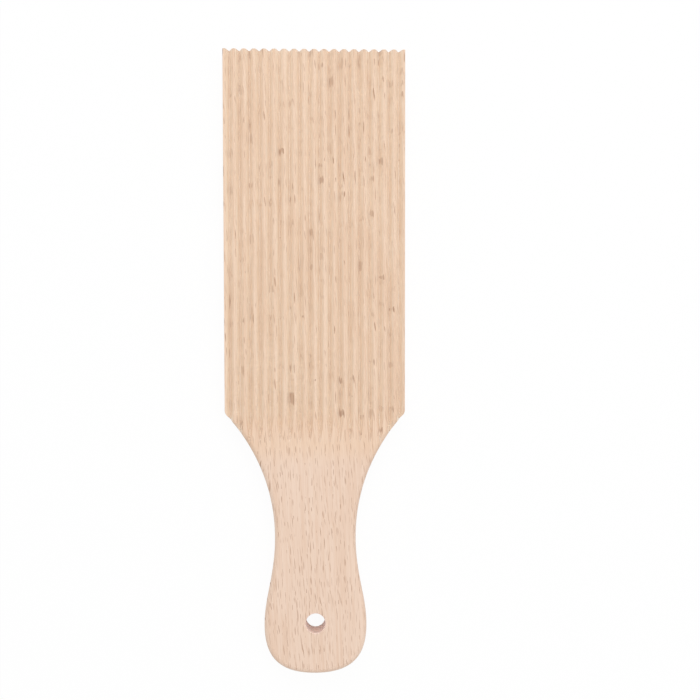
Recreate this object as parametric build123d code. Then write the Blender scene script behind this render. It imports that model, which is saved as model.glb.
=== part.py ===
from build123d import *
from math import cos, radians, sin, tan
import os

# Gnocchi board in one piece of beech: a ridged blade that pasta dough is rolled over,
# and a bulbous handle with a hole to hang it by.
# It lies on its back. +X runs from the handle's end to the blade's open end, +Z is up,
# and the origin is under the middle of the board. Lengths are in millimetres.

# The whole board. The blade is at its full width at its open end, and narrows a little to the shoulders.
board_length = 240.0
board_thickness = 10.0
blade_width = 70.0
blade_taper = 0.8

# The handle's outline. Each place is a distance from the handle's end.
bulb_place = 18.9
bulb_width = 39.4
neck_place = 52.5
neck_width = 31.2
shoulder_place = 100.5
shoulder_angle = 41.7

# How far each end of a curve keeps its direction, as a share of the room that it has
bulb_end_shares = (0.79, 0.59)
bulb_to_neck_shares = (0.32, 0.44)
neck_to_shoulder_shares = (0.34, 0.42)

# Edges: the handle is rounded over on both faces, the blade's shoulders and underside only eased
handle_edge_radius = 2.0
shoulder_radius = 3.0
easing_bite = 0.03
blade_edge_break = 0.4

# The hanging hole
hole_diameter = 7.5
hole_place = 19.6
hole_edge_break = 0.3

# The ridges, and the toothed wheel that cuts the grooves between them
groove_pitch = 3.84
groove_angle = 45.0
groove_floor_width = 0.3
ridge_radius = 0.85
ridge_drop = 0.15
groove_start_place = 103.0
cutter_radius = 32.0

# How far a cutter runs past what it cuts
overrun = 2.0

# Worked out from the sizes above
handle_end_x = -board_length / 2
blade_end_x = board_length / 2
shoulder_width = blade_width - blade_taper
ridge_top_z = board_thickness - ridge_drop
flank_angle = radians(groove_angle / 2)
groove_count = int(blade_width / groove_pitch)
ridge_shoulder_width = ridge_radius * cos(flank_angle)
ridge_shoulder_drop = ridge_radius * (1 - sin(flank_angle))
flank_width = (groove_pitch - groove_floor_width) / 2 - ridge_shoulder_width
groove_depth = ridge_shoulder_drop + flank_width / tan(flank_angle)
groove_floor_z = ridge_top_z - groove_depth
cutter_axis_z = groove_floor_z + cutter_radius
cutter_axis_x = handle_end_x + groove_start_place


def outline_place(distance, width):
    """Point on one side of the outline, at a distance from the handle's end."""
    return Vector(handle_end_x + distance, width / 2)


def handle_side():
    """Half of the handle's outline: round its end, over the bulb, in to the neck and out to the shoulder."""
    end = outline_place(0, 0)
    bulb = outline_place(bulb_place, bulb_width)
    neck = outline_place(neck_place, neck_width)
    shoulder = outline_place(shoulder_place, shoulder_width)

    across, along = bulb_end_shares
    end_to_bulb = Bezier(
        end,
        end + Vector(0, across * bulb.Y),
        bulb - Vector(along * bulb_place, 0),
        bulb,
    )

    from_bulb, to_neck = bulb_to_neck_shares
    waist = neck_place - bulb_place
    bulb_to_neck = Bezier(
        bulb,
        bulb + Vector(from_bulb * waist, 0),
        neck - Vector(to_neck * waist, 0),
        neck,
    )

    from_neck, to_shoulder = neck_to_shoulder_shares
    flare = shoulder_place - neck_place
    flare_end = Vector(cos(radians(shoulder_angle)), sin(radians(shoulder_angle)))
    neck_to_shoulder = Bezier(
        neck,
        neck + Vector(from_neck * flare, 0),
        shoulder - flare_end * (to_shoulder * flare),
        shoulder,
    )
    return [end_to_bulb, bulb_to_neck, neck_to_shoulder]


def make_blank():
    """The board before it is grooved and drilled: its outline in full thickness, with eased edges."""
    shoulder = outline_place(shoulder_place, shoulder_width)
    left_corner = outline_place(board_length, blade_width)
    right_corner = outline_place(board_length, -blade_width)
    left_side = handle_side() + [Line(shoulder, left_corner)]
    right_side = [mirror(edge, about=Plane.XZ) for edge in left_side]
    face = make_face(left_side + [Line(left_corner, right_corner)] + right_side)
    blank = extrude(face, amount=board_thickness)

    # The handle's long edges on both faces, from the end up to the shoulders
    handle_edges = blank.edges().filter_by(GeomType.BEZIER)
    blank = fillet(handle_edges, handle_edge_radius)

    # The blade's straight edges on the back
    back_edges = blank.edges().filter_by(GeomType.LINE).group_by(Axis.Z)[0]
    blank = chamfer(back_edges, blade_edge_break)

    easing = shoulder_easing()
    return blank - easing - mirror(easing, about=Plane.XZ)


def shoulder_easing():
    """What is rounded off the left shoulder: a wedge about its corner, less a circle inside it."""
    half_turn = radians(shoulder_angle / 2)
    shoulder = outline_place(shoulder_place, shoulder_width)
    outward = Vector(-sin(half_turn), cos(half_turn))
    centre = shoulder - outward * (shoulder_radius / cos(half_turn) + easing_bite)
    reach = shoulder_radius + overrun
    wedge = Polygon(
        centre,
        centre + Vector(0, reach),
        centre + outward * reach,
        centre + outward.rotate(Axis.Z, shoulder_angle / 2) * reach,
        align=None,
    )
    return extrude(wedge - Pos(centre) * Circle(shoulder_radius), amount=board_thickness)


def ridge_arc(crest_y, start_angle, end_angle):
    """Rounded top of the ridge at crest_y. Angles in degrees go round from +Y, and 90 is its top."""
    centre = (crest_y, ridge_top_z - ridge_radius)
    return CenterArc(centre, ridge_radius, start_angle, end_angle - start_angle)


def groove_walls(left_crest, right_crest):
    """The two slanting flanks and the narrow floor between a pair of ridges."""
    middle = (left_crest + right_crest) / 2
    flank_top_z = ridge_top_z - ridge_shoulder_drop
    return Polyline(
        (left_crest + ridge_shoulder_width, flank_top_z),
        (middle - groove_floor_width / 2, groove_floor_z),
        (middle + groove_floor_width / 2, groove_floor_z),
        (right_crest - ridge_shoulder_width, flank_top_z),
    )


def cutter_section():
    """Half section of the toothed wheel, across its width and from its axle down to its teeth.

    Its lower side is the ridged face's own profile, which runs level past the outermost ridges.
    """
    right_foot = groove_angle / 2
    left_foot = 180 - groove_angle / 2
    crests = [(number - groove_count / 2) * groove_pitch for number in range(groove_count + 1)]
    far_y = blade_width / 2 + overrun

    edges = [ridge_arc(crest, right_foot, left_foot) for crest in crests[1:-1]]
    edges += [groove_walls(left, right) for left, right in zip(crests, crests[1:])]
    edges.append(ridge_arc(crests[0], right_foot, 90))
    edges.append(ridge_arc(crests[-1], 90, left_foot))
    edges.append(
        Polyline(
            (crests[-1], ridge_top_z),
            (far_y, ridge_top_z),
            (far_y, cutter_axis_z),
            (-far_y, cutter_axis_z),
            (-far_y, ridge_top_z),
            (crests[0], ridge_top_z),
        )
    )
    return make_face(edges)


def make_cutter():
    """What the toothed wheel sweeps: straight along the blade, and a quarter turn where it lifts out."""
    upright = Plane(origin=(cutter_axis_x, 0, 0), x_dir=(0, 1, 0), z_dir=(1, 0, 0))
    section = upright * cutter_section()
    run = extrude(section, amount=blade_end_x - cutter_axis_x + overrun)
    axle = Axis((cutter_axis_x, 0, cutter_axis_z), (0, 1, 0))
    lift = revolve(section, axis=axle, revolution_arc=90)
    return run, lift


def make_hole_drill():
    """The hanging hole with both of its rims broken."""
    place = (handle_end_x + hole_place, 0, 0)
    radius = hole_diameter / 2
    rim_radius = radius + hole_edge_break
    top = board_thickness
    half_section = Polyline(
        (0, -overrun),
        (rim_radius, -overrun),
        (rim_radius, 0),
        (radius, hole_edge_break),
        (radius, top - hole_edge_break),
        (rim_radius, top),
        (rim_radius, top + overrun),
        (0, top + overrun),
        close=True,
    )
    drill = revolve(Plane.XZ * make_face(half_section), axis=Axis.Z)
    return Pos(*place) * drill


def make_board():
    """The finished board as one solid."""
    run, lift = make_cutter()
    return make_blank() - run - lift - make_hole_drill()


board = make_board()
print("board volume", round(board.volume), "groove depth", round(groove_depth, 2), "grooves", groove_count)

os.makedirs("parts", exist_ok=True)
export_step(board, "parts/board.step")
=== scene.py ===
from math import cos, pi, radians, sin, sqrt, tan
from types import SimpleNamespace

import bmesh
import bpy
import numpy as np
from mathutils import Matrix, Vector


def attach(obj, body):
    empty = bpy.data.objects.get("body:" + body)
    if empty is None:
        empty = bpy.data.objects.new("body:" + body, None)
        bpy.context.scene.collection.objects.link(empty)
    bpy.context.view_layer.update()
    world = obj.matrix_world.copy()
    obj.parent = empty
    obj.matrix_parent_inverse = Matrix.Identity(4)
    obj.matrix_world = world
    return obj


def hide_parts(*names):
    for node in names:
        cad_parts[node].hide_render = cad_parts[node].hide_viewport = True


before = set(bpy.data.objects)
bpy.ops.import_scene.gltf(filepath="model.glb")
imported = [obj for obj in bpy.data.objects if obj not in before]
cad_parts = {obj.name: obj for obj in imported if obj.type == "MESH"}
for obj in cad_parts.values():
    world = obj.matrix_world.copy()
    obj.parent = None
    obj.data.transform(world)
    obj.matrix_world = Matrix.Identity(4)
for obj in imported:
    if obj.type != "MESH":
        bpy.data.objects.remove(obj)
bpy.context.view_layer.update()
scene = bpy.context.scene
mm = 0.001  # shapes are worked out in millimetres, and put into Blender in metres


def addObject(name, data):
    added = bpy.data.objects.new(name, data)
    scene.collection.objects.link(added)
    return added


# The camera's place in millimetres, and the directions of its right side, its top and its back
cameraView = {
    "place": (-8.38, -0.37, 355.0),
    "right": (-0.00243, -0.99964, 0.02679),
    "up": (0.99996, -0.00266, -0.00876),
    "back": (0.00882, 0.02677, 0.99960),
    "lens": 46.21,
    "sensor": 36.0,
    "shift": (0.0143, 0.06),
    "reach": (0.01, 50.0),  # nearest and farthest that it sees, in metres
}


def makeCamera(view):
    data = bpy.data.cameras.new("camera")
    data.lens = view["lens"]
    data.sensor_width = view["sensor"]
    data.shift_x, data.shift_y = view["shift"]
    data.clip_start, data.clip_end = view["reach"]
    camera = addObject("camera", data)
    turn = Matrix((view["right"], view["up"], view["back"])).transposed()
    camera.matrix_world = Matrix.Translation([value * mm for value in view["place"]]) @ turn.to_4x4()
    scene.camera = camera


makeCamera(cameraView)
print("camera stands over the board")


boardShape = {
    "length": 240.0,
    "thickness": 10.0,
    "bladeWidth": 70.0,
    "bladeTaper": 0.8,  # how much narrower the blade is at the shoulders
    "bulb": (18.9, 39.4),  # distance from the handle's end, and width
    "neck": (52.5, 31.2),
    "shoulder": 100.5,
    "shoulderAngle": 41.7,
    "shoulderRadius": 3.0,
    # How far each end of the handle's three curves keeps its direction, as a share of the room it has
    "curveShares": ((0.79, 0.59), (0.32, 0.44), (0.34, 0.42)),
    "handleEdge": 2.0,
    "bladeEdge": 0.2,
    "backEdge": 0.4,
    "edgeBlend": 9.0,  # how far before the shoulder the handle's round edge starts to sharpen
    "endEdge": 0.2,
    "holePlace": 19.6,
    "holeRadius": 3.75,
    "holeEdge": 0.3,
}
ridgeShape = {
    "pitch": 3.84,
    "count": 18,
    "flankAngle": 22.5,
    "floorWidth": 0.3,
    "crestRadius": 0.85,
    "crestDrop": 0.15,
    "startPlace": 103.0,  # where the wheel's axle stops, from the handle's end
    "wheelRadius": 32.0,
}
# Painted light and shade on the cut faces, as how much of the wood's red, green and blue each part keeps: the
# flanks and the hole's wall are painted paler, as painted light where the grooves and the hole are shaded,
# and the groove floors darker, as painted shade
grooveLightPaint = {
    "crest": (1.003, 0.975, 0.917),
    "flankTop": (1.167, 1.273, 1.282),
    "flankFoot": (1.098, 1.263, 1.346),
    "floor": (0.884, 0.96, 0.996),
    "bore": (1.13, 1.15, 1.27),
}
# Where that painted light and shade and the ridges' kind of flecks lie. A fade starts so far behind the
# wheel's axle, and takes so far to come.
cutPaint = {
    "toneFade": (24.0, 10.0),
    "fleckFade": (14.0, 5.0),
    "flankDepth": 0.45,  # below the flat face, where the flanks have all of their painted light
    "steepSlope": 2.0,  # the slope from which a face counts as a flank
    "nudge": 0.01,  # sideways step that the slope is measured over
    "leastDepth": 0.05,  # a groove shallower than this counts as this deep
}
# How fine the mesh is. Whole numbers are counts, and the rest are millimetres or shares.
gridSteps = {
    "outlinePoints": {"tip": 1500, "waist": 1500, "flare": 3000, "shoulder": 400, "side": 800},
    "tipStep": 0.55,  # between cross lines, along the outline from the handle's end
    "tipReach": 34.0,  # how far along it those lines may go
    "tipLength": 24.0,  # where the handle's wider steps start, from the handle's end
    "handleStep": 1.1,
    "runOutStep": 0.28,
    "runOutLength": 15.0,
    "bladeStep": 3.4,
    "endGap": 0.3,  # between the open end's edge and the line before it
    "holeSteps": 26,
    "holeGap": 0.2,  # between the hole's rim and the lines beside it
    "holeSlack": 0.0001,  # a line this far past the rim still counts as on it
    "leastChord": 0.01,  # where the hole is narrower than this, it counts as closed
    "leastStep": 0.02,  # a cross line nearer than this to the one before it is left out
    "placeDigits": 6,
    # Lines along the board: on the flat land beside a crest, over the crest, and down its flank
    "landShares": (0, 1 / 3, 2 / 3),
    "crestShares": (0, 0.18, 0.36, 0.54, 0.7, 0.86, 1),
    "flankShares": (1 / 3, 2 / 3, 1),
    "sideLines": (0.2, 50.0),  # beyond the last crest. The far one ends up on the outline.
    "edgeSteps": 9,
    "wallSteps": 4,
    "backLines": 5,
    "endSteps": 4,
    "boreSteps": 6,
    "boreRimSteps": 4,
}
meshFinish = {
    "mergeGap": 0.004,  # points nearer than this become one
    "leastEdge": 0.002,
    "sharpAngle": 30.0,  # edges that turn by more than this, in degrees, are drawn sharp
}


def allSizes(shape, ridge):
    # Both tables in one, with what follows from them. The crest's arc meets its flank at archWidth from
    # the crest and archDrop below it. A flank's slope is how far it goes sideways for its height.
    size = {**shape, **ridge}
    flankAngle = radians(size["flankAngle"])
    size["handleEnd"] = -size["length"] / 2
    size["holeX"] = size["handleEnd"] + size["holePlace"]
    size["rimRadius"] = size["holeRadius"] + size["holeEdge"]
    size["slope"] = tan(flankAngle)
    size["crest"] = size["thickness"] - size["crestDrop"]
    size["archWidth"] = size["crestRadius"] * cos(flankAngle)
    size["archDrop"] = size["crestRadius"] * (1 - sin(flankAngle))
    size["flankFoot"] = size["pitch"] / 2 - size["floorWidth"] / 2
    size["floor"] = size["crest"] - size["archDrop"] - (size["flankFoot"] - size["archWidth"]) / size["slope"]
    size["axleX"] = size["handleEnd"] + size["startPlace"]
    size["axleZ"] = size["floor"] + size["wheelRadius"]
    return size


def mixed(first, second, share):
    return first + (second - first) * share


def smoothStep(value):
    # 3 t^2 - 2 t^3, for t from 0 to 1
    value = np.clip(value, 0, 1)
    return value * value * (3 - 2 * value)


def quarterTurn(count):
    return np.linspace(0, pi / 2, count + 1)


def bezierRun(points, count):
    # (1-t)^3 a + 3 (1-t)^2 t b + 3 (1-t) t^2 c + t^3 d, for t from 0 to 1
    t = np.linspace(0, 1, count)[:, None]
    a, b, c, d = np.asarray(points, float)
    return (1 - t) ** 3 * a + 3 * (1 - t) ** 2 * t * b + 3 * (1 - t) * t ** 2 * c + t ** 3 * d


def pathLengths(points):
    steps = np.linalg.norm(np.diff(points, axis=0), axis=1)
    return np.concatenate([[0.0], np.cumsum(steps)])


def halfOutline(size, counts):
    # Three Bezier curves round the handle, an arc for the shoulder and a straight line for the blade
    endX = size["handleEnd"]
    bulbPlace, bulbWidth = size["bulb"]
    neckPlace, neckWidth = size["neck"]
    end = np.array([endX, 0.0])
    bulb = np.array([endX + bulbPlace, bulbWidth / 2])
    neck = np.array([endX + neckPlace, neckWidth / 2])
    shoulder = np.array([endX + size["shoulder"], (size["bladeWidth"] - size["bladeTaper"]) / 2])
    corner = np.array([-endX, size["bladeWidth"] / 2])
    (across, along), (fromBulb, toNeck), (fromNeck, toShoulder) = size["curveShares"]
    waistRoom = neckPlace - bulbPlace
    flareRoom = size["shoulder"] - neckPlace
    angle = radians(size["shoulderAngle"])
    flareEnd = np.array([cos(angle), sin(angle)]) * (toShoulder * flareRoom)

    tip = [end, end + [0, across * bulb[1]], bulb - [along * bulbPlace, 0], bulb]
    waist = [bulb, bulb + [fromBulb * waistRoom, 0], neck - [toNeck * waistRoom, 0], neck]
    flare = [neck, neck + [fromNeck * flareRoom, 0], shoulder - flareEnd, shoulder]
    tip = bezierRun(tip, counts["tip"])
    waist = bezierRun(waist, counts["waist"])
    flare = bezierRun(flare, counts["flare"])

    # The shoulder's arc takes the place of the last bit of the flare and the first of the blade's side.
    # It is one Bezier curve, whose handles are 4/3 r tan(turn / 4) long.
    radius = size["shoulderRadius"]
    side = (corner - shoulder) / np.linalg.norm(corner - shoulder)
    turn = angle - np.arctan2(side[1], side[0])
    cut = radius * tan(turn / 2)
    lengths = pathLengths(flare)
    flare = flare[lengths < lengths[-1] - cut]
    arcStart = flare[-1]
    startWay = (flare[-1] - flare[-2]) / np.linalg.norm(flare[-1] - flare[-2])
    reach = radius * 4 / 3 * tan(turn / 4)
    arcEnd = shoulder + side * cut
    arc = [arcStart, arcStart + startWay * reach, arcEnd - side * reach, arcEnd]
    arc = bezierRun(arc, counts["shoulder"])
    blade = arcEnd + np.linspace(0, 1, counts["side"])[:, None] * (corner - arcEnd)
    return np.concatenate([tip, waist[1:], flare[1:], arc[1:], blade[1:]])


def crestLevel(across, size):
    # Height of the ridged face's profile: an arc over each crest, a straight flank and a narrow floor.
    # Past the outermost crests it runs level.
    radius = size["crestRadius"]
    half = size["pitch"] / 2
    away = np.abs((across + half) % size["pitch"] - half)
    away = np.where(np.abs(across) > half * size["count"], 0.0, away)
    arc = size["crest"] - radius + np.sqrt(np.clip(radius ** 2 - away ** 2, 0, None))
    flank = size["crest"] - size["archDrop"] - (away - size["archWidth"]) / size["slope"]
    return np.where(away < size["archWidth"], arc, np.maximum(flank, size["floor"]))


def wheelLevel(along, level, size):
    # Straight along the blade. Behind the wheel's axle each point lifts on a circle about the axle:
    # axle height - sqrt((axle height - level)^2 - distance^2)
    behind = np.minimum(along - size["axleX"], 0)
    reach = (size["axleZ"] - level) ** 2 - behind ** 2
    lifted = size["axleZ"] - np.sqrt(np.clip(reach, 0, None))
    lifted = np.where(reach > 0, lifted, size["axleZ"])
    return np.minimum(size["thickness"], lifted)


def topLevel(along, across, size):
    # Lower of the flat face and what the wheel leaves
    return wheelLevel(along, crestLevel(across, size), size)


def creaseAway(along, size):
    # How far from a crest the flat face ends at each place along the board: the wheel's circle solved
    # for the profile's level there, and the profile solved for the distance. The arc gives
    # sqrt(2 r drop - drop^2).
    behind = np.minimum(along - size["axleX"], 0)
    cutLevel = size["axleZ"] - np.sqrt((size["axleZ"] - size["thickness"]) ** 2 + behind ** 2)
    cutLevel = np.where(behind < 0, cutLevel, size["thickness"])
    drop = np.clip(size["crest"] - cutLevel, 0, None)
    onArc = np.sqrt(np.clip(2 * size["crestRadius"] * drop - drop ** 2, 0, None))
    onFlank = size["archWidth"] + (drop - size["archDrop"]) * size["slope"]
    away = np.where(drop < size["archDrop"], onArc, onFlank)
    return np.where(cutLevel <= size["floor"], size["pitch"] / 2, away)


def ridgeLines(size, steps):
    # Lines that run along the board, from its middle to one side. Each is a crest, a side of it, and
    # either a share of the flat land beside that crest (1 at the end) or a distance from it (0).
    pitch = size["pitch"]
    distances = [size["archWidth"] * share for share in steps["crestShares"]]
    distances += [mixed(size["archWidth"], size["flankFoot"], share) for share in steps["flankShares"]]
    distances += [pitch / 2]
    rows = [(share, 1) for share in steps["landShares"]] + [(distance, 0) for distance in distances]
    table = []
    for number in range(size["count"] // 2):
        table += [(number * pitch, 1, value, isLand) for value, isLand in rows]
        table += [((number + 1) * pitch, -1, value, isLand) for value, isLand in rows[::-1]]
    table += [(pitch * size["count"] / 2, 1, distance, 0) for distance in steps["sideLines"]]
    return np.array(table).T


def linePlaces(length, innerX, size, steps):
    # Where along the outline the board's skin has its cross lines: closest round the handle's end, at
    # the hole and along the run-outs
    holeX, rimRadius, axleX = size["holeX"], size["rimRadius"], size["axleX"]
    tipEnd = size["handleEnd"] + steps["tipLength"]
    runOutEnd = axleX - steps["runOutLength"]
    lastX = size["length"] / 2 - size["endEdge"]
    besideHole = rimRadius + steps["holeGap"]

    tip = np.arange(0, steps["tipReach"], steps["tipStep"])
    tip = tip[np.interp(tip, length, innerX) < holeX - besideHole]
    firstX = np.interp(tip[-1], length, innerX)
    besideTip = np.arange(firstX, tipEnd, steps["handleStep"])[1:]
    besideTip = besideTip[np.abs(besideTip - holeX) > besideHole]
    hole = holeX - rimRadius * np.cos(np.linspace(0, pi, steps["holeSteps"] + 1))
    handle = np.arange(tipEnd, runOutEnd, steps["handleStep"])
    runOut = np.arange(axleX, runOutEnd, -steps["runOutStep"])
    blade = np.linspace(axleX, lastX - steps["endGap"], int((lastX - axleX) / steps["bladeStep"]))

    placesX = np.concatenate([besideTip, hole, handle, runOut, blade, [lastX]])
    places = np.concatenate([tip, np.interp(placesX, innerX, length)])
    places = np.unique(np.round(places, steps["placeDigits"]))
    return places[np.concatenate([[True], np.diff(places) > steps["leastStep"]])]


def crossLines(size, steps):
    # For each cross line, as columns: where it meets the outline, the way inwards, how round the edges
    # are there, where the round edges end, and half of the hole's width. At the open end, with its edge
    # e, the section steps out by e sin(a) and shrinks by e (1 - cos(a)).
    outline = halfOutline(size, steps["outlinePoints"])
    length = pathLengths(outline)
    tangent = np.gradient(outline, length, axis=0)
    tangent /= np.linalg.norm(tangent, axis=1)[:, None]
    inward = np.column_stack([tangent[:, 1], -tangent[:, 0]])
    inward[0] = (1, 0)
    shoulderAt = length[np.argmax(outline[:, 0] > size["handleEnd"] + size["shoulder"])]
    sharpen = smoothStep((length - shoulderAt + size["edgeBlend"]) / size["edgeBlend"])
    topRound = mixed(size["handleEdge"], size["bladeEdge"], sharpen)
    backRound = mixed(size["handleEdge"], size["backEdge"], sharpen)

    places = linePlaces(length, outline[:, 0] + inward[:, 0] * topRound, size, steps)
    endAngles = quarterTurn(steps["endSteps"])[1:]
    noStep = np.zeros(len(places))
    lastPlace = len(places) - 1
    places = np.concatenate([places, np.full(len(endAngles), places[-1])])

    def sampled(values):
        return np.interp(places, length, values)[:, None]

    line = SimpleNamespace()
    line.stepOut = np.concatenate([noStep, size["endEdge"] * np.sin(endAngles)])[:, None]
    line.shrink = np.concatenate([noStep, size["endEdge"] * (1 - np.cos(endAngles))])[:, None]
    line.atEnd = (np.arange(len(places)) >= lastPlace)[:, None]
    line.edgeX, line.edgeY = sampled(outline[:, 0]), sampled(outline[:, 1]) - line.shrink
    line.inX, line.inY = sampled(inward[:, 0]), sampled(inward[:, 1])
    line.topRound, line.backRound = sampled(topRound), sampled(backRound)
    line.topX, line.topY = line.edgeX + line.inX * line.topRound, line.edgeY + line.inY * line.topRound
    line.backX, line.backY = line.edgeX + line.inX * line.backRound, line.edgeY + line.inY * line.backRound
    fromHole = line.topX - size["holeX"]
    chord = np.sqrt(np.clip(size["rimRadius"] ** 2 - fromHole ** 2, 0, None))
    line.chord = np.where(chord < steps["leastChord"], 0, chord)
    line.inHole = np.abs(fromHole) < size["rimRadius"] + steps["holeSlack"]
    return line


def ridgedFace(line, size, steps):
    # Lines at their distance from a crest, held back to the crease, the outline and the hole
    crest, side, value, isLand = ridgeLines(size, steps)
    crease = creaseAway(line.topX, size)
    away = np.where(isLand == 1, value * crease, np.maximum(value, crease))
    isFar = value >= steps["sideLines"][-1]
    away = np.where(isFar, value, np.minimum(away, size["pitch"] / 2))
    y = np.clip(crest + side * away, line.chord, line.topY)
    x = np.broadcast_to(line.topX, y.shape)
    return x, y, topLevel(x, y, size) - line.shrink


def faceEdge(line, size, steps):
    # A quarter circle from the face to the wall, and lower where a groove runs out through it
    angles = quarterTurn(steps["edgeSteps"])[1:]
    deep = line.topRound * (1 - np.sin(angles))
    x = line.edgeX + line.inX * deep
    y = line.edgeY + line.inY * deep
    noGroove = topLevel(x, np.full_like(x, size["bladeWidth"]), size)
    z = noGroove - line.topRound * (1 - np.cos(angles))
    return x, y, np.minimum(z, topLevel(x, y, size)) - line.shrink


def sideWall(line, topZ, steps):
    share = np.linspace(0, 1, steps["wallSteps"] + 1)[1:]
    z = mixed(topZ, line.backRound + line.shrink, share)
    return np.broadcast_to(line.edgeX, z.shape), np.broadcast_to(line.edgeY, z.shape), z


def backEdge(line, steps):
    # A quarter circle turned under the wall
    angles = quarterTurn(steps["edgeSteps"])[1:]
    deep = line.backRound * (1 - np.cos(angles))
    z = line.backRound * (1 - np.sin(angles)) + line.shrink
    return line.edgeX + line.inX * deep, line.edgeY + line.inY * deep, z


def backFace(line, steps):
    # Flat, from its edge in to the middle or the hole
    share = np.linspace(1, 0, steps["backLines"] + 1)[1:]
    y = mixed(line.chord, line.backY, share)
    return np.broadcast_to(line.backX, y.shape), y, np.broadcast_to(line.shrink, y.shape)


def boardSkin(line, size, steps):
    # One side of the board as a grid, with a row for each cross line: from the middle over the face,
    # round its edge, down the wall and back under it
    edge = faceEdge(line, size, steps)
    wall = sideWall(line, edge[2][:, -1:], steps)
    bands = [ridgedFace(line, size, steps), edge, wall, backEdge(line, steps), backFace(line, steps)]
    skin = np.stack([np.hstack(parts) for parts in zip(*bands)], axis=-1)
    endX = size["length"] / 2 - size["endEdge"] + line.stepOut
    skin[:, :, 0] = np.where(line.atEnd, endX, skin[:, :, 0])
    return skin


def boreWall(line, size, steps):
    # A circle about the hole, let out by the rounded rims above and below
    angles = quarterTurn(steps["boreRimSteps"])
    edge = size["holeEdge"]
    rims, drops = edge * (1 - np.sin(angles)), edge * (1 - np.cos(angles))
    wall = np.linspace(edge, size["thickness"] - edge, steps["boreSteps"])[1:-1]
    radii = size["holeRadius"] + np.concatenate([rims, np.zeros(len(wall)), rims[::-1]])
    heights = np.concatenate([size["thickness"] - drops, wall[::-1], drops[::-1]])
    inHole = line.inHole[:, 0]
    turned = np.arctan2(line.chord[inHole], size["holeX"] - line.topX[inHole])
    x = size["holeX"] - radii * np.cos(turned)
    y = radii * np.sin(turned)
    return np.stack([x, y, np.broadcast_to(heights, x.shape)], axis=-1)


def facePaint(skin, line, size, steps, shadeAndLightTints, paint):
    # Painted light and shade on the ridged face: its tone goes from the crest's to the floor's painted shade,
    # and on steep flanks from their top's painted light to their foot's. The flat face has none of it. The
    # tone's fourth value is how steep the flank is, and ridged says where the ridges' kind of flecks is. The
    # face's edge is painted with the face.
    painted = ridgeLines(size, steps).shape[1] + steps["edgeSteps"] - 1
    x, y = skin[:, :painted, 0], skin[:, :painted, 1]
    z = topLevel(x, y, size)
    nudge = paint["nudge"]
    slope = np.abs(topLevel(x, y + nudge, size) - topLevel(x, y - nudge, size)) / (2 * nudge)
    steep = smoothStep(slope / paint["steepSlope"])
    steep = steep * smoothStep((size["thickness"] - z) / paint["flankDepth"])
    localCrest = wheelLevel(line.topX, size["crest"], size)
    localFloor = wheelLevel(line.topX, size["floor"], size)
    sunk = np.clip((localCrest - z) / np.maximum(localCrest - localFloor, paint["leastDepth"]), 0, 1)
    steep = np.where(line.atEnd, 0, steep)[..., None]
    sunk = np.where(line.atEnd, 0, sunk)[..., None]

    def comesIn(fade):
        start, distance = fade
        return smoothStep((line.topX - size["axleX"] + start) / distance)

    colours = {name: np.array(colour) for name, colour in shadeAndLightTints.items()}
    level = mixed(colours["crest"], colours["floor"], sunk)
    flank = mixed(colours["flankTop"], colours["flankFoot"], sunk)
    onBlade = comesIn(paint["toneFade"])[..., None]
    tone = np.zeros((*skin.shape[:2], 4))
    tone[..., :3] = mixed(1.0, colours["crest"], onBlade)
    tone[:, :painted, :3] = mixed(1.0, mixed(level, flank, steep), onBlade)
    tone[:, :painted, 3:] = steep
    ridged = np.zeros(skin.shape[:2])
    ridged[:, :painted] = comesIn(paint["fleckFade"])
    return tone, ridged


def gridFaces(rows, columns, first):
    # Quads between neighbouring rows and columns of a grid of vertices
    corner = first + (np.arange(rows - 1)[:, None] * columns + np.arange(columns - 1)).ravel()
    return np.column_stack([corner, corner + columns, corner + columns + 1, corner + 1])


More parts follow.
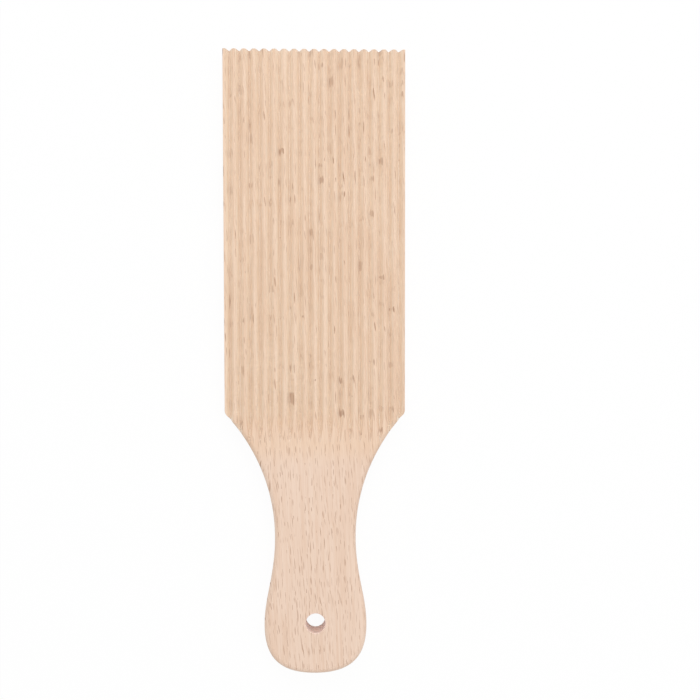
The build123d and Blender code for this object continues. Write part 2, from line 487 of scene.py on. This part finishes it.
def makeBoard(size, steps, shadeAndLightTints, paint, finish):
    # The skin and the hole's wall of one side, and their mirror image
    line = crossLines(size, steps)
    skin = boardSkin(line, size, steps)
    bore = boreWall(line, size, steps)
    half = np.concatenate([skin.reshape(-1, 3), bore.reshape(-1, 3)])
    skinFaces = gridFaces(*skin.shape[:2], 0)
    boreFaces = gridFaces(*bore.shape[:2], skin.shape[0] * skin.shape[1])
    faces = np.concatenate([skinFaces, boreFaces[:, ::-1]])
    points = np.concatenate([half, half * [1, -1, 1]])
    faces = np.concatenate([faces, faces[:, ::-1] + len(half)])
    mesh = bpy.data.meshes.new("board_wood")
    mesh.from_pydata(points * mm, [], faces.tolist())

    # Painted light and shade for the grooves, and painted light for the hole's wall, kept on the points
    tone, ridged = facePaint(skin, line, size, steps, shadeAndLightTints, paint)
    boreLightPaint = np.broadcast_to([*shadeAndLightTints["bore"], 0.0], (bore.shape[0] * bore.shape[1], 4))
    tone = np.concatenate([tone.reshape(-1, 4), boreLightPaint])
    ridged = np.concatenate([ridged.ravel(), np.zeros(len(boreLightPaint))])
    toneData = mesh.attributes.new("paintedGrooveLight", "FLOAT_COLOR", "POINT").data
    toneData.foreach_set("color", np.concatenate([tone, tone]).ravel().astype(np.float32))
    ridgedData = mesh.attributes.new("ridged", "FLOAT", "POINT").data
    ridgedData.foreach_set("value", np.concatenate([ridged, ridged]).astype(np.float32))

    # The seams are merged, and the open end gets its face
    work = bmesh.new()
    work.from_mesh(mesh)
    bmesh.ops.remove_doubles(work, verts=work.verts, dist=finish["mergeGap"] * mm)
    bmesh.ops.dissolve_degenerate(work, dist=finish["leastEdge"] * mm, edges=work.edges)
    openEdges = [edge for edge in work.edges if edge.is_boundary]
    bmesh.ops.contextual_create(work, geom=openEdges)
    bmesh.ops.recalc_face_normals(work, faces=work.faces)
    for face in work.faces:
        face.smooth = True
    stillOpen = sum(edge.is_boundary for edge in work.edges)
    volume = round(work.calc_volume(signed=True) / mm ** 3)
    print("open edges left", stillOpen, "faces", len(work.faces), "volume", volume, "cubic mm")
    work.to_mesh(mesh)
    work.free()
    mesh.set_sharp_from_angle(angle=radians(finish["sharpAngle"]))
    return addObject("board_wood", mesh)


board = makeBoard(allSizes(boardShape, ridgeShape), gridSteps, grooveLightPaint, cutPaint, meshFinish)
print("board cut, edges rounded, hole bored")


class Value:
    # One socket's value in a material, so that sums on values are written as sums
    def __init__(self, bench, socket):
        self.bench = bench
        self.socket = socket

    def __add__(self, other):
        return self.bench.maths("ADD", self, other)

    def __sub__(self, other):
        return self.bench.maths("SUBTRACT", self, other)

    def __rsub__(self, other):
        return self.bench.maths("SUBTRACT", other, self)

    def __mul__(self, other):
        return self.bench.maths("MULTIPLY", self, other)

    def __truediv__(self, other):
        return self.bench.maths("DIVIDE", self, other)

    def __pow__(self, other):
        return self.bench.maths("POWER", self, other)

    __radd__ = __add__
    __rmul__ = __mul__

    def absolute(self):
        return self.bench.maths("ABSOLUTE", self)

    def atLeast(self, other):
        return self.bench.maths("MAXIMUM", self, other)

    def ramp(self, low, high):
        # 0 below low, 1 above high, and smooth between them
        sockets = {"Value": self, "From Min": low, "From Max": high}
        return self.bench.add("ShaderNodeMapRange", {"interpolation_type": "SMOOTHSTEP"}, sockets)

    def other(self, name):
        # Another output of the same node
        return Value(self.bench, self.socket.node.outputs[name])


class Bench:
    # Where the nodes of a material or of the sky are put together
    def __init__(self, owner):
        owner.use_nodes = True
        self.tree = owner.node_tree
        self.tree.nodes.clear()

    def add(self, kind, settings, sockets, out=0):
        node = self.tree.nodes.new(kind)
        for name, setting in settings.items():
            setattr(node, name, setting)
        for name, value in sockets.items():
            if isinstance(value, Value):
                self.tree.links.new(value.socket, node.inputs[name])
            else:
                node.inputs[name].default_value = value
        return Value(self, node.outputs[out]) if node.outputs else None

    def maths(self, operation, *values):
        return self.add("ShaderNodeMath", {"operation": operation}, dict(enumerate(values)))

    def blend(self, factor, first, second):
        # A Mix node's colours are its sockets 6 and 7, and its output 2
        settings = {"data_type": "RGBA", "blend_type": "MIX", "clamp_factor": True}
        return self.add("ShaderNodeMix", settings, {0: factor, 6: first, 7: second}, 2)

    def split(self, vector):
        first = self.add("ShaderNodeSeparateXYZ", {}, {0: vector})
        return first, first.other(1), first.other(2)

    def scaled(self, place, size):
        # A place whose length, width and depth are counted in the size's
        parts = [part / length for part, length in zip(place, size)]
        return self.add("ShaderNodeCombineXYZ", {}, dict(enumerate(parts)))

    def swing(self, place, layer):
        # Noise from -0.5 to 0.5. Its patches are as long, wide and deep as the layer's size
        sockets = {"Scale": 1.0, "Detail": layer["detail"], "Roughness": layer["roughness"]}
        sockets["Vector"] = self.scaled(place, layer["size"])
        return self.add("ShaderNodeTexNoise", {"noise_dimensions": "3D"}, sockets) - 0.5


# Lengths in this table are millimetres and angles degrees. A size is along the grain, across it and
# into the wood.
woodLook = {
    "rayLean": 24.0,  # how far the rays lean over from upright, to the board's right
    "grainTurn": 3.5,
    "wander": {"reach": 1.3, "size": (26.0, 12.0, 12.0), "detail": 2.0, "roughness": 0.5},
    "ripple": {"reach": 0.22, "size": (5.0, 1.4, 1.4), "detail": 3.0, "roughness": 0.5},
    "fine": {"share": 0.45, "size": (90.0, 1.1, 1.1), "detail": 3.0, "roughness": 0.6},
    "broad": {"share": 0.25, "size": (160.0, 5.0, 3.0), "detail": 2.0, "roughness": 0.5},
    "patches": {"share": 0.2, "size": (35.0, 12.0, 9.0), "detail": 2.0, "roughness": 0.5},
    "hairLines": {"share": 0.4, "size": (45.0, 0.42, 0.42), "detail": 1.0, "roughness": 0.5},
    "ridgeLines": 0.25,  # what the hair lines' share gains on the ridges
    "fibre": {"size": (9.0, 0.22, 0.22), "detail": 2.0, "roughness": 0.6},
    "toneSpread": 0.14,  # the grain's sum runs from the deep tone to the pale one within this
    "paleTone": (0.835, 0.638, 0.508, 1),
    "deepTone": (0.772, 0.555, 0.418, 1),
    "rayTone": (0.385, 0.200, 0.110, 1),
    "endGrainTone": (0.3, 0.17, 0.1, 1),
    "endGrainShare": 0.04,
    "endGrainTurn": (0.25, 0.80),  # how far a face turns to the board's length to be end grain
    "flankRays": 0.5,  # how much fainter the rays are where they lie flat in a groove's flank
    "endRays": 0.7,  # and in the end grain
    # A ray's half length and half width are parts of its cell: the least, and what chance may add
    "bigRays": {
        "cell": (6.4, 2.1, 26.0),
        "length": (0.22, 0.30),
        "width": (0.065, 0.06),
        "power": 1.8,  # the more, the fewer are strong
        "shade": 0.66,
        "onRidges": 0.45,  # the share that their strength gains on the ridges
    },
    "smallRays": {
        "cell": (4.6, 1.40, 20.0),
        "length": (0.26, 0.38),
        "width": (0.054, 0.034),
        "power": 1.1,
        "shade": 1.0,
        "onRidges": -0.55,
    },
    "rayEdge": 0.4,  # how much of a ray is its soft edge
    "roughness": {"plain": 0.62, "fibre": 0.16, "rays": -0.12},
    "height": {"fibre": 0.8, "fine": 0.5, "rays": -0.5},
    "bumpDepth": 0.05,
    "bumpStrength": 0.35,
    "ior": 1.45,
    "coat": {"weight": 0.3, "roughness": 0.35},
}


def rayFlecks(bench, place, rays, edge, ridged):
    # Spindles scattered one to a cell: |across| < half width * (1 - (along / half length)^2)
    spot = bench.scaled(place, rays["cell"])
    settings = {"voronoi_dimensions": "3D", "feature": "F1"}
    scatter = bench.add("ShaderNodeTexVoronoi", settings, {"Vector": spot, "Scale": 1.0, "Randomness": 1.0})
    centre = scatter.other("Position")
    away = bench.add("ShaderNodeVectorMath", {"operation": "SUBTRACT"}, {0: spot, 1: centre})
    awayAlong, awayAcross = bench.split(away)[:2]
    chance, lengthChance, widthChance = bench.split(scatter.other("Color"))
    leastLength, moreLength = rays["length"]
    leastWidth, moreWidth = rays["width"]
    reach = awayAlong / (lengthChance * moreLength + leastLength)
    body = 1 - reach * reach - awayAcross.absolute() / (widthChance * moreWidth + leastWidth)
    strength = (chance ** rays["power"]) * rays["shade"] * (ridged * rays["onRidges"] + 1)
    return body.ramp(0.0, edge) * strength


def makeBeech(look):
    material = bpy.data.materials.new("beech")
    bench = Bench(material)
    sockets = {
        "Vector": bench.add("ShaderNodeTexCoord", {}, {}, "Object"),
        "Rotation": (-radians(look["rayLean"]), 0, -radians(look["grainTurn"])),
        "Scale": (1 / mm, 1 / mm, 1 / mm),
    }
    turned = bench.add("ShaderNodeMapping", {"vector_type": "POINT"}, sockets)
    along, across, deep = bench.split(turned)
    paintedGrooveLight = bench.add("ShaderNodeAttribute", {"attribute_name": "paintedGrooveLight"}, {}, "Color")
    flank = paintedGrooveLight.other("Alpha")
    ridged = bench.add("ShaderNodeAttribute", {"attribute_name": "ridged"}, {}, "Fac")
    normal = bench.add("ShaderNodeTexCoord", {}, {}, "Normal")
    endGrain = bench.split(normal)[0].absolute().ramp(*look["endGrainTurn"])

    # The fibres wander a little as they run, and the rays' and hair lines' edges are ragged
    wander, ripple = look["wander"], look["ripple"]
    across = across + bench.swing((along, across, deep), wander) * (2 * wander["reach"])
    place = (along, across, deep)
    raggedPlace = (along, across + bench.swing(place, ripple) * (2 * ripple["reach"]), deep)

    fine = bench.swing(place, look["fine"])
    broad = bench.swing(place, look["broad"])
    patches = bench.swing(place, look["patches"])
    hairLines = bench.swing(raggedPlace, look["hairLines"])
    grain = fine * look["fine"]["share"] + broad * look["broad"]["share"] + patches * look["patches"]["share"]
    grain = grain + hairLines * (ridged * look["ridgeLines"] + look["hairLines"]["share"])
    paleness = grain.ramp(-look["toneSpread"], look["toneSpread"])
    colour = bench.blend(paleness, look["deepTone"], look["paleTone"])
    # The cut faces' painted light and shade: paler flanks and hole wall, darker groove floors
    colour = bench.add("ShaderNodeVectorMath", {"operation": "MULTIPLY"}, {0: colour, 1: paintedGrooveLight})

    bigRays = rayFlecks(bench, raggedPlace, look["bigRays"], look["rayEdge"], ridged)
    smallRays = rayFlecks(bench, raggedPlace, look["smallRays"], look["rayEdge"], ridged)
    rays = bigRays.atLeast(smallRays)
    rays = rays * (1 - flank * look["flankRays"]) * (1 - endGrain * look["endRays"])
    colour = bench.blend(rays, colour, look["rayTone"])
    colour = bench.blend(endGrain * look["endGrainShare"], colour, look["endGrainTone"])

    fibre = bench.swing(place, look["fibre"])
    rough, height = look["roughness"], look["height"]
    roughness = fibre * rough["fibre"] + rays * rough["rays"] + rough["plain"]
    level = fibre * height["fibre"] + fine * height["fine"] + rays * height["rays"]
    sockets = {"Height": level, "Strength": look["bumpStrength"], "Distance": look["bumpDepth"] * mm}
    sockets = {
        "Base Color": colour,
        "Roughness": roughness,
        "Normal": bench.add("ShaderNodeBump", {}, sockets),
        "IOR": look["ior"],
        "Coat Weight": look["coat"]["weight"],
        "Coat Roughness": look["coat"]["roughness"],
    }
    surface = bench.add("ShaderNodeBsdfPrincipled", {}, sockets)
    bench.add("ShaderNodeOutputMaterial", {}, {"Surface": surface})
    return material


board.data.materials.append(makeBeech(woodLook))
print("beech on the board")


# Lengths in this table are metres
studio = {
    "skyLevel": 0.62,
    "floorHalf": 12.0,
    "floorDrop": 0.00005,  # how far the floor lies below the board's back
    "floorTone": 0.94,
    "floorShare": 0.94,  # how much of the floor that the camera sees is plain white
    "floorFade": (0.2, 0.6),  # distances over which that share grows to the whole
    "lamps": {  # place, side, and the level that it gives the board's face
        "endLight": ((0.80, 0.0, 0.85), 0.7, 0.21),
        "topLight": ((-0.10, 0.0, 1.20), 0.8, 0.12),
        "rightLight": ((0.0, -0.55, 1.00), 0.6, 0.12),
    },
}


def seenPlainly(bench):
    # 1 for rays from the camera, and for what gloss and glass show of the surroundings
    path = bench.add("ShaderNodeLightPath", {}, {}, "Is Camera Ray")
    return path.atLeast(path.other("Is Glossy Ray")).atLeast(path.other("Is Transmission Ray"))


def makeSky(settings):
    world = bpy.data.worlds.new("sky")
    bench = Bench(world)
    level = seenPlainly(bench) * (1 - settings["skyLevel"]) + settings["skyLevel"]
    sky = bench.add("ShaderNodeBackground", {}, {"Color": (1, 1, 1, 1), "Strength": level})
    bench.add("ShaderNodeOutputWorld", {}, {"Surface": sky})
    scene.world = world


def makeFloor(settings):
    mesh = bpy.data.meshes.new("floor")
    corners = np.array([[-1, -1, 0], [1, -1, 0], [1, 1, 0], [-1, 1, 0]]) * settings["floorHalf"]
    mesh.from_pydata(corners - [0, 0, settings["floorDrop"]], [], [[0, 1, 2, 3]])
    floor = addObject("floor", mesh)
    material = bpy.data.materials.new("floor")
    bench = Bench(material)
    tone = settings["floorTone"]
    paint = bench.add("ShaderNodeBsdfDiffuse", {}, {"Color": (tone, tone, tone, 1)})
    white = bench.add("ShaderNodeEmission", {}, {"Color": (1, 1, 1, 1), "Strength": 1.0})
    place = bench.add("ShaderNodeTexCoord", {}, {}, "Object")
    distance = bench.add("ShaderNodeVectorMath", {"operation": "LENGTH"}, {0: place}, "Value")
    share = distance.ramp(*settings["floorFade"]) * (1 - settings["floorShare"]) + settings["floorShare"]
    both = bench.add("ShaderNodeMixShader", {}, {0: seenPlainly(bench) * share, 1: paint, 2: white})
    bench.add("ShaderNodeOutputMaterial", {}, {"Surface": both})
    mesh.materials.append(material)


def makeSoftLight(name, place, side, level):
    # A square lamp facing the board. A white face at a distance d from a lamp of power P, turned to it by
    # the share s, shines at the level P s / (pi^2 d^2).
    distance = sqrt(sum(value * value for value in place))
    turnedTo = place[2] / distance
    data = bpy.data.lights.new(name, "AREA")
    data.shape = "SQUARE"
    data.size = side
    data.energy = level * pi ** 2 * distance ** 2 / turnedTo
    lamp = addObject(name, data)
    lamp.location = place
    lamp.rotation_euler = Vector(place).to_track_quat("Z", "Y").to_euler()
    lamp.visible_camera = False


makeSky(studio)
makeFloor(studio)
for lampName, (lampPlace, lampSide, lampLevel) in studio["lamps"].items():
    makeSoftLight(lampName, lampPlace, lampSide, lampLevel)
scene.view_settings.view_transform = "Standard"
print("floor, sky and soft lights")


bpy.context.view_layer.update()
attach(board, "root")
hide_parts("board")
